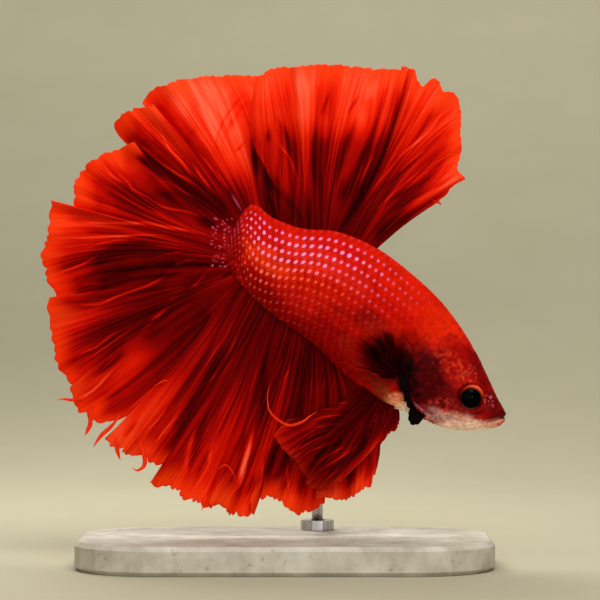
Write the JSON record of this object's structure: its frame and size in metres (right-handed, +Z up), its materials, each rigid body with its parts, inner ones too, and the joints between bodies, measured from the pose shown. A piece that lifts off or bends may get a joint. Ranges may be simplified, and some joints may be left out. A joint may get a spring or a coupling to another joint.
{
  "type": "betta fish",
  "caption": "Life-size still model of a male halfmoon betta fish, red, with spread fins, held over a flat base by one slim rod.",
  "frame": {"origin": "middle of the flat underside of the stand's base", "axes": "+Z up, +X towards the fish's head, +Y towards its left flank, so the right flank faces -Y"},
  "size_m": [0.0654, 0.036, 0.0704],
  "materials": {
    "flank": "moist skin, deep red, under small scales with a lilac spot each",
    "head": "moist skin, dark red with orange-red flecks",
    "jaw": "moist skin, pale cream and pink",
    "gill": "moist skin, dark maroon",
    "membrane": "soft black membrane",
    "fin": "thin red membrane between branching rays, orange-red at the margin",
    "clear_fin": "clear membrane with pale rays",
    "eye": "wet black pupil in a dark red ring",
    "base": "honed pale limestone",
    "rod": "brushed"
  },
  "bodies": {
    "root": {"head": "head", "lower_jaw": "jaw", "gill_cover_right": "gill", "gill_cover_left": "gill", "gill_membrane_right": "membrane", "gill_membrane_left": "membrane", "eye_right": "eye", "eye_left": "eye", "trunk": "flank", "tail_stem": "flank", "caudal_fin": "fin", "dorsal_fin": "fin", "anal_fin": "fin", "ventral_fin_right": "fin", "ventral_fin_left": "fin", "pectoral_fin_right": "clear_fin", "pectoral_fin_left": "clear_fin", "stand_base": "base", "stand_rod": "rod", "stand_collar": "rod"}
  },
  "joints": []
}
